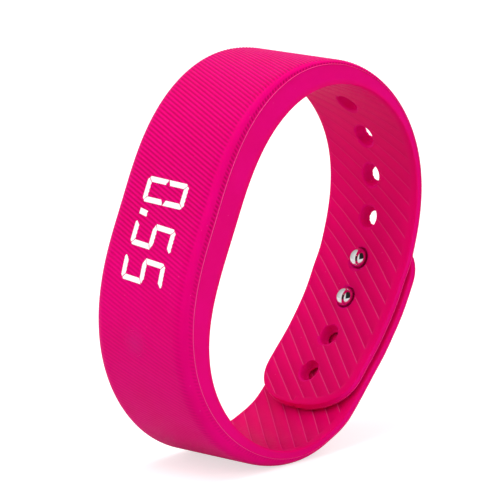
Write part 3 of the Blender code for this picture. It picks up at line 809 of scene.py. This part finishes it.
def plate_outline(more):
    studs = [arc_at(HOLES[index]) for index in STUD_HOLES]
    low, high = studs[0] - PLATE_BEYOND_STUD - more, studs[1] + PLATE_BEYOND_STUD + more
    return rounded_rectangle(PLATE_WIDTH / 2 + more, low, high, PLATE_ROUND + more)


def make_stud_strap():
    """The strap with a recess outside for the clasp's plate and a bore for each stud's post."""
    base = stud_strap_offset
    places = stations(STUD_SPLIT, FRONT_RANGE[0], STRAP_STEP)
    root = band_skin("silicone_stud_strap_root", places, base)
    tip = tip_stations(STUD_TIP + 360, 1, STRAP_STEP) - 360
    angles = np.concatenate([tip[::-1], stations(tip[0], STUD_SPLIT, STRAP_STEP)[1:]])
    end = band_skin("silicone_stud_strap", angles, base, tip=STUD_TIP)
    floor = -PLATE_DEPTH - PLATE_THICKNESS - GAP
    recess = laid_on("recess", [plate_outline(PLATE_CLEARANCE)], strap_place, floor, CUT_ABOVE)
    bores = [
        cylinder(f"bore_{index}", STUD_POST_RADIUS + POST_CLEARANCE, *BORE_SPAN, hole_frame(index))
        for index in STUD_HOLES
    ]
    shade(carve(end, "DIFFERENCE", recess, *bores))
    return root, end


def stud_profile(index):
    """Half outline of a stud from its round head to the end of its post under the plate."""
    degrees = float(HOLES[index])
    plate_bottom = strap_place(arc_at(degrees), -PLATE_DEPTH - PLATE_THICKNESS)[1]
    post_end = float(plate_bottom - hole_strap_offset(degrees)) - POST_BELOW_PLATE
    head = [
        (STUD_HEAD_RADIUS * math.sin(a), STUD_HEAD_MIDDLE - STUD_HEAD_HALF * math.cos(a))
        for a in HEAD_TURNS
    ]
    return head + [(STUD_POST_RADIUS, STUD_HEAD_END), (STUD_POST_RADIUS, post_end), (0, post_end)]


def make_clasp():
    """The curved steel plate, and studs whose heads are rounder and fuller than the CAD's flat ones."""
    bottom = -PLATE_DEPTH - PLATE_THICKNESS
    plate = laid_on("steel_plate", [plate_outline(0)], strap_place, bottom, -PLATE_DEPTH)
    shade(rounded(plate, PLATE_EDGE), CLASP_SHARP)
    studs = [
        shade(turned(f"chrome_stud_{number}", stud_profile(index), hole_frame(index)), CLASP_SHARP)
        for number, index in enumerate(STUD_HOLES, start=1)
    ]
    return plate, studs


# ---------------- the lit digits

DIGITS = (  # lit bars, middle across the band and along its outer face, and slant
    ("abcdef", 0.15 * MM, 17.85 * MM, -0.04),
    ("afgcd", 0.25 * MM, 8.35 * MM, -0.09),
    ("afgcd", -0.1 * MM, 1.0 * MM, -0.09),
)
DIGIT_HALF_LONG = 6.2 * MM
DIGIT_HALF_WIDE = 2.75 * MM
POINT_SLANT = -0.2
BAR = 1.16 * MM
BAR_CHAMFER = 0.62 * MM
BAR_GAP = 0.15 * MM
SIDE_GAPS = 0.7  # how many gaps a side bar keeps from the digit's middle
POINT_GAPS = 1.6  # how many gaps the middle bar's points keep from its sides
POINT_MIDDLE = (-4.6 * MM, 13.1 * MM)
POINT_HALF = (1.1 * MM, 0.62 * MM)
LIGHT_RANGE = (-0.4 * MM, 0.03 * MM)  # from under the ribs to just over their crests


def bar_outlines():
    """The seven bars of a digit as corners (p, q): p towards the digit's top, q towards its left."""
    top, left, wide, cut, gap = DIGIT_HALF_LONG, DIGIT_HALF_WIDE, BAR, BAR_CHAMFER, BAR_GAP
    side = [
        (SIDE_GAPS * gap, left),
        (top - cut - gap, left),
        (top - cut / 2 - gap, left - cut / 2),
        (top - wide - gap, left - wide),
        (wide / 2 + gap, left - wide),
    ]
    end = [
        (top, left - cut - gap),
        (top - cut / 2, left - cut / 2 - gap),
        (top - wide, left - wide - gap),
        (top - wide, gap + wide - left),
        (top - cut / 2, gap + cut / 2 - left),
        (top, gap + cut - left),
    ]
    point, shoulder = left - POINT_GAPS * gap, left - wide - gap
    half = [(0, point), (wide / 2, shoulder), (wide / 2, -shoulder)]

    def flip(corners, sign_p, sign_q):
        return [(sign_p * p, sign_q * q) for p, q in corners]

    middle = half + flip(half, -1, -1)
    return {
        "a": end,
        "b": flip(side, 1, -1),
        "c": flip(side, -1, -1),
        "d": flip(end, -1, 1),
        "e": flip(side, -1, 1),
        "f": side,
        "g": middle,
    }


def face_place(arc, height):
    """Places on the outer face, from the arc length along it and the height above it."""
    degrees = degrees_at(arc, OUTER_ARC)
    return degrees, outer_offset(degrees) + height


def make_digits():
    """The lit bars of each digit as one piece, and the decimal point."""
    bars = bar_outlines()
    made = []
    for number, (letters, shift, centre, slant) in enumerate(DIGITS, start=1):
        outlines = [
            [(shift + p, centre + q + slant * p) for p, q in bars[letter]] for letter in letters
        ]
        made.append(laid_on(f"digit_light_{number}", outlines, face_place, *LIGHT_RANGE))
    x, s = POINT_MIDDLE
    half_x, half_s = POINT_HALF
    corners = [(-1, -1), (1, -1), (1, 1), (-1, 1)]
    outline = [(x + half_x * a, s + half_s * b + POINT_SLANT * half_x * a) for a, b in corners]
    made.append(laid_on("point_light", [outline], face_place, *LIGHT_RANGE))
    return made


# ---------------- materials


NOISE_RANGE = (0.3, 0.7)  # nearly all of a noise texture's values


class Nodes:
    """A node tree under construction. A value is a number, an RGB tuple or an output."""

    def __init__(self, owner):
        owner.use_nodes = True
        self.nodes, self.links = owner.node_tree.nodes, owner.node_tree.links

    def put(self, socket, value):
        if isinstance(value, tuple):
            socket.default_value = (*value, 1)
        elif isinstance(value, (int, float)):
            socket.default_value = value
        else:
            self.links.new(value, socket)

    def math(self, operation, *values):
        node = self.nodes.new("ShaderNodeMath")
        node.operation = operation
        for socket, value in zip(node.inputs, values):
            self.put(socket, value)
        return node.outputs[0]

    def add(self, kind, **values):
        """A node with a value put in each of the inputs named."""
        node = self.nodes.new("ShaderNode" + kind)
        for socket, value in values.items():
            self.put(node.inputs[socket.replace("_", " ")], value)
        return node

    def spread(self, value, low, high, to_low=0.0, to_high=1.0):
        ends = {"From_Min": low, "From_Max": high, "To_Min": to_low, "To_Max": to_high}
        return self.add("MapRange", Value=value, **ends).outputs["Result"]


class Look(Nodes):
    """A material: one Principled shader and the nodes that feed it."""

    def __init__(self, name, colour, roughness, **sockets):
        self.material = bpy.data.materials.new(name)
        super().__init__(self.material)
        self.shader = self.nodes["Principled BSDF"]
        self.feed("Base Color", colour).feed("Roughness", roughness)
        for socket, value in sockets.items():
            self.shader.inputs[socket.replace("_", " ")].default_value = value
        self.place = self.nodes.new("ShaderNodeTexCoord").outputs["Object"]

    def noise(self, scale, detail=3.0, roughness=0.5):
        kind = {"Scale": scale, "Detail": detail, "Roughness": roughness}
        return self.add("TexNoise", Vector=self.place, **kind).outputs["Fac"]

    def varied(self, scale, low, high, detail=3.0):
        """Noise that runs from one value to another."""
        return self.spread(self.noise(scale, detail), *NOISE_RANGE, low, high)

    def cells(self, scale):
        return self.add("TexVoronoi", Vector=self.place, Scale=scale).outputs["Distance"]

    def mark(self, name):
        """A value that the mesh carries."""
        node = self.nodes.new("ShaderNodeAttribute")
        node.attribute_name = name
        return node.outputs["Fac"]

    def mix(self, factor, first, second):
        """A colour between two."""
        node = self.nodes.new("ShaderNodeMix")
        node.data_type = "RGBA"
        for socket, value in zip((node.inputs["Factor"], *node.inputs[6:8]), (factor, first, second)):
            self.put(socket, value)
        return node.outputs[2]

    def feed(self, socket, value):
        self.put(self.shader.inputs[socket], value)
        return self

    def bump(self, height, distance, strength):
        node = self.add("Bump", Height=height, Distance=distance, Strength=strength)
        self.feed("Normal", node.outputs["Normal"])


PINK = (0.83, 0.0, 0.20)
INNER_PINK = (0.84, 0.0, 0.15)
DEEP_PINK = (0.74, 0.0, 0.13)
# painted shade: in the ribs' valleys, in a line under the seam and down the inner face's steps
PAINTED_SHADE_PINK = (0.36, 0.0, 0.05)
# painted highlight: along the parting seam and along the edges of the inner face's steps
HIGHLIGHT_PINK = (1.0, 0.10, 0.36)
VALLEY_SHADE = 0.62
STEP_SHADE = 0.26
# strength of the painted highlight along the edges of the inner face's steps
STEP_HIGHLIGHT = 0.5
PALE_PINK = (0.90, 0.10, 0.36)
KEY_TINT = (0.66, 0.010, 0.19)
KEY_TINT_REACH = (0.5 * MM, 4.0 * MM)
MOTTLE_SCALE = 120
SPECK_SCALE = 900
SPECK_PATCH_SCALE = 420
GLOSS_SCALE = 1400
GRAIN_SCALE = 5200
GRAIN_DEPTH = 0.012 * MM
WHITE = (1.0, 1.0, 1.0)


def silicone_look():
    """Matt pink silicone, faintly mottled, with a few pale specks, painted shade between the ribs, under
    the seam and down the inner face's steps, and painted highlights along the seam and the steps' edges.
    """
    look = Look(
        "silicone_pink",
        PINK,
        0.45,
        Subsurface_Weight=0.12,
        Subsurface_Radius=(1.0, 0.1, 0.3),
        Subsurface_Scale=0.5 * MM,
        Specular_IOR_Level=0.03,
    )
    plain = look.mix(look.mark("inside"), PINK, INNER_PINK)
    mottle = look.spread(look.noise(MOTTLE_SCALE), 0.35, 0.65, 0, 0.3)
    specks = look.spread(look.cells(SPECK_SCALE), 0.05, 0.12, 1, 0)
    rare = look.spread(look.noise(SPECK_PATCH_SCALE, 1), 0.62, 0.70, 0, 0.55)
    mottled = look.mix(mottle, plain, DEEP_PINK)
    speckled = look.mix(look.math("MULTIPLY", specks, rare), mottled, PALE_PINK)
    # painted shade and highlights of the ribs, the seam and the steps
    shade_and_highlights = stepped_inside(look, ribbed_outside(look, speckled))
    look.feed("Base Color", tinted_round_key(look, shade_and_highlights))
    look.feed("Roughness", look.varied(GLOSS_SCALE, 0.38, 0.5, detail=2))
    look.bump(look.noise(GRAIN_SCALE, 2, 0.6), GRAIN_DEPTH, 0.6)
    return look.material


def ribbed_outside(look, colour):
    """Painted shade down the valleys between the ribs and in a dark line just under the mould's parting
    seam, and a painted highlight along that seam.
    """
    turn = look.math("MULTIPLY", look.mark("ribs"), 2 * math.pi)
    between = look.spread(look.math("COSINE", turn), -1, 1, 1, 0)
    # painted shade, darker down each valley between the ribs
    deep = look.math("MULTIPLY", look.math("MULTIPLY", between, look.mark("ribbed")), VALLEY_SHADE)
    # painted shadow as a dark line just under the seam
    shadow = look.spread(look.mark("seam_shade_line"), 0.3, 0.9, 0, 0.5)
    # painted highlight along the seam's ridge
    seam = look.spread(look.mark("seam"), 0.3, 0.8, 0, 0.9)
    shaded = look.mix(shadow, look.mix(deep, colour, PAINTED_SHADE_PINK), PAINTED_SHADE_PINK)
    return look.mix(seam, shaded, HIGHLIGHT_PINK)


def stepped_inside(look, colour):
    """Painted shade on each step of the inner face, darker towards its edge, where a thin painted
    highlight runs.
    """
    along = look.math("FRACT", look.mark("steps"))
    there = look.mark("stepped")
    # painted shade, darker towards each step's edge
    deep = look.math("MULTIPLY", look.spread(along, 0.25, 0.92, 0, STEP_SHADE), there)
    # a thin painted highlight along each step's edge
    starts, ends = look.spread(along, 0.90, 0.95, 0, 1), look.spread(along, 0.96, 1.0, 0, 1)
    line = look.math("SUBTRACT", starts, ends)
    pale = look.math("MULTIPLY", look.math("MULTIPLY", line, there), STEP_HIGHLIGHT)
    return look.mix(pale, look.mix(deep, colour, PAINTED_SHADE_PINK), HIGHLIGHT_PINK)


def tinted_round_key(look, colour):
    """The soft purplish spot where the key's cap lies close under the skin."""
    middle = look.nodes.new("ShaderNodeVectorMath")
    middle.operation = "DISTANCE"
    look.put(middle.inputs[0], look.place)
    middle.inputs[1].default_value = KEY_FRAME.translation
    near = look.spread(middle.outputs["Value"], *KEY_TINT_REACH, 0.6, 0)
    return look.mix(near, colour, KEY_TINT)


def plastic(name, colour, roughness, grain=900, depth=0.01 * MM, **sockets):
    """A moulded or coated part: slightly uneven colour and gloss over a fine grain."""
    look = Look(name, colour, roughness, **sockets)
    darker = tuple(0.82 * part for part in colour)
    look.feed("Base Color", look.mix(look.varied(grain / 3, 0, 1), colour, darker))
    look.feed("Roughness", look.varied(grain, roughness * 0.85, roughness * 1.2))
    look.bump(look.noise(grain * 4, 2), depth, 0.5)
    return look.material


def metal(name, colour, roughness, grain=700):
    """A metal with uneven gloss and a very fine grain."""
    look = Look(name, colour, roughness, Metallic=1.0)
    look.feed("Roughness", look.varied(grain, roughness * 0.7, roughness * 1.4))
    look.bump(look.noise(grain * 3, 2), 0.002 * MM, 0.4)
    return look.material


def board_look(name, colour):
    """A circuit board's lacquer with faint copper tracks under it."""
    look = Look(name, colour, 0.35, Coat_Weight=0.4, Coat_Roughness=0.15)
    lighter = tuple(min(1.0, 1.9 * part + 0.01) for part in colour)
    tints = {"Color1": colour, "Color2": colour, "Mortar": lighter}
    tracks = look.add("TexBrick", Vector=look.place, Scale=260, Mortar_Size=0.03, **tints)
    look.feed("Base Color", tracks.outputs["Color"])
    look.feed("Roughness", look.varied(900, 0.28, 0.42))
    return look.material


def light_look():
    """A lit bar: dark in itself, so that the lamps add nothing to its even white."""
    look = Look("digit_white", (0.03, 0.03, 0.03), 0.4, Emission_Strength=1.0)
    look.feed("Emission Color", look.mix(look.varied(500, 0, 1), WHITE, (0.97, 0.97, 0.97)))
    return look.material


def slot_looks():
    """A procedural material for each of the record's slots."""
    return {
        "silicone": silicone_look(),
        "clasp_steel": metal("brushed_steel", (0.62, 0.62, 0.63), 0.28),
        "stud_chrome": metal("chrome", (0.86, 0.86, 0.88), 0.07),
        "casing_gloss": plastic("casing_gloss", (0.012, 0.012, 0.014), 0.16),
        "casing_matte": plastic("casing_matte", (0.02, 0.02, 0.022), 0.5),
        "seal_rubber": plastic("seal_rubber", (0.06, 0.06, 0.065), 0.75),
        "board_green": board_look("board_green", (0.008, 0.10, 0.035)),
        "flex_amber": plastic("flex_amber", (0.42, 0.17, 0.02), 0.3),
        "white_plastic": plastic("white_plastic", (0.82, 0.82, 0.80), 0.45),
        "light_guide": plastic("light_guide", (0.90, 0.90, 0.90), 0.3),
        "chip_black": plastic("chip_black", (0.015, 0.015, 0.017), 0.55),
        "can_steel": metal("can_steel", (0.6, 0.6, 0.62), 0.3),
        "battery_foil": metal("battery_foil", (0.66, 0.68, 0.72), 0.32, 300),
        "board_blue": board_look("board_blue", (0.01, 0.06, 0.16)),
        "wire_red": plastic("wire_red", (0.55, 0.008, 0.008), 0.4),
        "wire_black": plastic("wire_black", (0.02, 0.02, 0.02), 0.4),
        "contact_gold": metal("contact_gold", (0.83, 0.58, 0.20), 0.22),
    }


# ---------------- stage, light and camera

FLOOR_SIZE = 6.0
FLOOR_LIGHT = (0.12, 0.64)  # what the floor gives off, to other rays and to the camera's
AZIMUTH = 46.727
ELEVATION = 12.481
ROLL = 2.51
DISTANCE = 1124.179 * MM
LENS = 385.08
SENSOR = 36.0
SHIFT = (-0.0377, 0.0204)
CLIP_END = 10.0
WORLD_STRENGTH = 0.76
LIT = ((0.0, 0.40), (0.45, 0.45), (0.58, 0.50), (1.0, 0.95))  # height from below to above, and level
MIRRORED = (  # what a shiny surface sees round it: share of a turn from +Y by way of -X, and level
    (0.0, 0.5),
    (0.25, 0.5),
    (0.5, 0.95),
    (0.58, 0.85),
    (0.61, 0.02),
    (0.88, 0.01),
    (0.94, 0.5),
)
LAMP_TARGET = Vector((0, 0, 0.04))
LAMPS = (  # azimuth, elevation, distance, size and power
    ("top_box", -10, 72, 0.60, (0.40, 0.40), 1.9),
    ("left_box", -42, 26, 0.75, (0.30, 0.45), 1.3),
    ("right_box", 95, 20, 0.80, (0.40, 0.60), 1.8),
    ("back_box", 190, 35, 0.80, (0.50, 0.40), 1.2),
)


def make_floor():
    """A white floor that gives off some light of its own, so that only soft shadows show on it."""
    bm = bmesh.new()
    bmesh.ops.create_grid(bm, x_segments=8, y_segments=8, size=FLOOR_SIZE / 2)
    floor = bmesh_object("floor", bm)
    look = Look("floor_white", (0.6, 0.6, 0.6), 0.9, Specular_IOR_Level=0.1)
    look.feed("Base Color", look.mix(look.varied(3, 0, 1), (0.60, 0.60, 0.60), (0.58, 0.58, 0.58)))
    look.feed("Emission Color", WHITE)
    seen = look.nodes.new("ShaderNodeLightPath").outputs["Is Camera Ray"]
    look.feed("Emission Strength", look.spread(seen, 0, 1, *FLOOR_LIGHT))
    floor.data.materials.append(look.material)


class Studio(Nodes):
    """The world round the object."""

    def greys(self, value, low, high, stops):
        """Grey levels at the stops, along a value that runs from low to high."""
        node = self.nodes.new("ShaderNodeValToRGB")
        elements = node.color_ramp.elements
        elements[0].position, elements[1].position = stops[0][0], stops[-1][0]
        for position, _ in stops[1:-1]:
            elements.new(position)
        for element, (_, level) in zip(elements, stops):
            element.color = (level, level, level, 1)
        self.put(node.inputs["Fac"], self.spread(value, low, high))
        return node.outputs["Color"]

    def background(self, colour, strength=1.0):
        return self.add("Background", Color=colour, Strength=strength).outputs[0]

    def either(self, *values):
        """One shader or the other, by a factor that comes first."""
        node = self.nodes.new("ShaderNodeMixShader")
        for socket, value in zip(node.inputs, values):
            self.put(socket, value)
        return node.outputs[0]


def make_world():
    """White where it is seen, dark and light bands in a reflection, and soft grey where it lights."""
    made = bpy.data.worlds.new("studio")
    bpy.context.scene.world = made
    studio = Studio(made)
    studio.nodes.clear()
    rays = studio.nodes.new("ShaderNodeLightPath").outputs
    split = studio.nodes.new("ShaderNodeSeparateXYZ")
    studio.put(split.inputs[0], studio.nodes.new("ShaderNodeTexCoord").outputs["Generated"])
    x, y, z = split.outputs
    lit = studio.background(studio.greys(z, -1, 1, LIT), WORLD_STRENGTH)
    turn = studio.math("ARCTAN2", x, studio.math("MULTIPLY", y, -1))
    mirrored = studio.background(studio.greys(turn, -math.pi, math.pi, MIRRORED))
    shown = studio.either(rays["Is Camera Ray"], lit, studio.background(WHITE))
    shown = studio.either(rays["Is Glossy Ray"], shown, mirrored)
    studio.put(studio.nodes.new("ShaderNodeOutputWorld").inputs["Surface"], shown)


def direction(azimuth, elevation):
    """Towards a place round the object; azimuth 0 is on the display side, 90 towards +X."""
    a, e = math.radians(azimuth), math.radians(elevation)
    return Vector((math.sin(a) * math.cos(e), -math.cos(a) * math.cos(e), math.sin(e)))


def make_lamps():
    """Square area lights round the object, which shiny surfaces don't mirror."""
    for name, azimuth, elevation, distance, size, power in LAMPS:
        light = bpy.data.lights.new(name, "AREA")
        light.shape = "RECTANGLE"
        light.size, light.size_y = size
        light.energy = power
        away = direction(azimuth, elevation)
        lamp = linked(name, light)
        lamp.location = LAMP_TARGET + distance * away
        lamp.rotation_euler = away.to_track_quat("Z", "Y").to_euler()
        lamp.visible_glossy = False


def make_camera():
    """A long lens that looks at the loop's middle, a little rolled and shifted."""
    back = direction(AZIMUTH, ELEVATION)
    a, roll = math.radians(AZIMUTH), math.radians(ROLL)
    right = Vector((math.cos(a), math.sin(a), 0))
    up = back.cross(right)
    rolled_right = math.cos(roll) * right - math.sin(roll) * up
    rolled_up = math.sin(roll) * right + math.cos(roll) * up
    lens = bpy.data.cameras.new("camera")
    lens.sensor_width = SENSOR
    lens.lens = LENS
    lens.shift_x, lens.shift_y = SHIFT
    lens.clip_end = CLIP_END
    camera = linked("camera", lens)
    pose = Matrix((rolled_right, rolled_up, back)).transposed().to_4x4()
    camera.matrix_world = Matrix.Translation(Vector((0, *CENTRE)) + DISTANCE * back) @ pose
    bpy.context.scene.camera = camera


# ---------------- assembly

BLEND_HALF = 11.0  # degrees either side of a flexible stretch's middle


def bend(piece, first, second, middle, base=no_offset):
    """Bakes the piece's transform into its mesh; it finds places at the ends of the stretch at that angle
    but keeps none, and the two bodies are not used.
    """
    low, high = middle - BLEND_HALF, middle + BLEND_HALF
    spot(low, float(base(low)) + outer_offset(low))
    spot(high, float(base(high)) + outer_offset(high))
    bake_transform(piece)


def finish_piece(piece, look, nodes=()):
    piece.data.materials.clear()
    piece.data.materials.append(look)
    if nodes:
        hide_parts(*nodes)


def dress_cad_nodes(looks):
    """Gives each CAD node the look of its slot in the record."""
    for part in frame["record"]["subparts"]:
        materials = frame["nodes"][part["node"]].data.materials
        materials.clear()
        materials.append(looks[part["material_slot"]])


def build():
    """Makes the pieces, gives each its look, hides the CAD nodes that they stand in for, and parents the
    front, key, plate, studs and digits to a body each.
    """
    looks = slot_looks()
    dress_cad_nodes(looks)
    silicone = looks["silicone"]
    front = make_front()
    key = make_key_cap()
    hole_root, hole_end = make_hole_strap()
    stud_root, stud_end = make_stud_strap()
    plate, studs = make_clasp()
    skins = {
        "band_sleeve": front,
        "key_membrane": key,
        "hole_strap_upper": hole_root,
        "hole_strap_end": hole_end,
        "stud_strap_root": stud_root,
        "stud_strap_end": stud_end,
    }
    for node, skin in skins.items():
        finish_piece(skin, silicone, [node])
    finish_piece(plate, looks["clasp_steel"], ["clasp_plate"])
    for number, stud in enumerate(studs, start=1):
        finish_piece(stud, looks["stud_chrome"], [f"clasp_stud_{number}"])
        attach(stud, "stud_strap_end")
    white = light_look()
    for digit in make_digits():
        finish_piece(digit, white)
        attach(digit, "sleeve")
    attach(front, "sleeve")
    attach(key, "key")
    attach(plate, "stud_strap_end")
    bend(hole_root, "sleeve", "hole_strap_upper", HOLE_ROOT)
    bend(hole_end, "hole_strap_upper", "hole_strap_end", HOLE_MIDDLE)
    bend(stud_root, "stud_strap_root", "sleeve", STUD_ROOT, stud_strap_offset)
    bend(stud_end, "stud_strap_end", "stud_strap_root", STUD_MIDDLE, stud_strap_offset)


build()
make_floor()
make_world()
make_lamps()
make_camera()
bpy.context.scene.view_settings.view_transform = "Standard"
